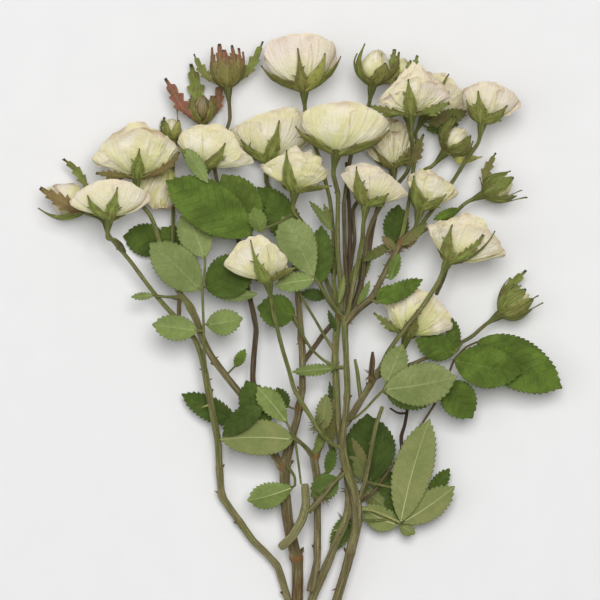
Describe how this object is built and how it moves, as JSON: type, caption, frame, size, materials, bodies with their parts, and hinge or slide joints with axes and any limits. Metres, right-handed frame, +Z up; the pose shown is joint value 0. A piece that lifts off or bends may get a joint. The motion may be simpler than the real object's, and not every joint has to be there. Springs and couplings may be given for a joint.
{
  "type": "dried rose",
  "caption": "Dried spray rose cutting lying flat, with forking woody canes, toothed leaves, flattened cream blooms and closed buds.",
  "frame": {"origin": "centre of the cutting's footprint, on the surface that it lies on", "axes": "+Y from the cut end of the canes towards the blooms, the longest way; +Z up from the surface, the thinnest way; +X to the right, seen from above"},
  "size_m": [0.2096, 0.278, 0.0413],
  "materials": {
    "bark": "dry, matt, green and brown",
    "petals": "dry, thin, cream",
    "bud_petals": "dry, cream and tan",
    "leaf": "dry, matt, dark green above and grey green below"
  },
  "bodies": {
    "root": {"canes": "bark", "bloom_01": "petals", "bloom_02": "petals", "bloom_03": "petals", "bloom_04": "petals", "bloom_05": "petals", "bloom_06": "petals", "bloom_07": "petals", "bloom_08": "petals", "bloom_09": "petals", "bloom_10": "petals", "bloom_11": "petals", "bloom_12": "petals", "bloom_13": "petals", "bloom_14": "petals", "bloom_15": "petals", "bloom_16": "petals", "bloom_17": "petals", "bud_01": "bud_petals", "bud_02": "bud_petals", "bud_03": "bud_petals", "bud_04": "bud_petals", "bud_05": "bud_petals", "bud_06": "bud_petals", "bud_07": "bud_petals", "bud_08": "bud_petals", "bud_09": "bud_petals", "leaf_01": "leaf", "leaf_02": "leaf", "leaf_03": "leaf", "leaf_04": "leaf", "leaf_05": "leaf", "leaf_06": "leaf", "leaf_07": "leaf", "leaf_08": "leaf", "leaf_09": "leaf", "leaf_10": "leaf", "leaf_11": "leaf", "leaf_12": "leaf", "leaf_13": "leaf", "leaf_14": "leaf", "leaf_15": "leaf", "leaf_16": "leaf", "leaf_17": "leaf", "leaf_18": "leaf", "leaf_19": "leaf", "leaf_20": "leaf", "leaf_21": "leaf", "leaf_22": "leaf", "leaf_23": "leaf"}
  },
  "joints": []
}
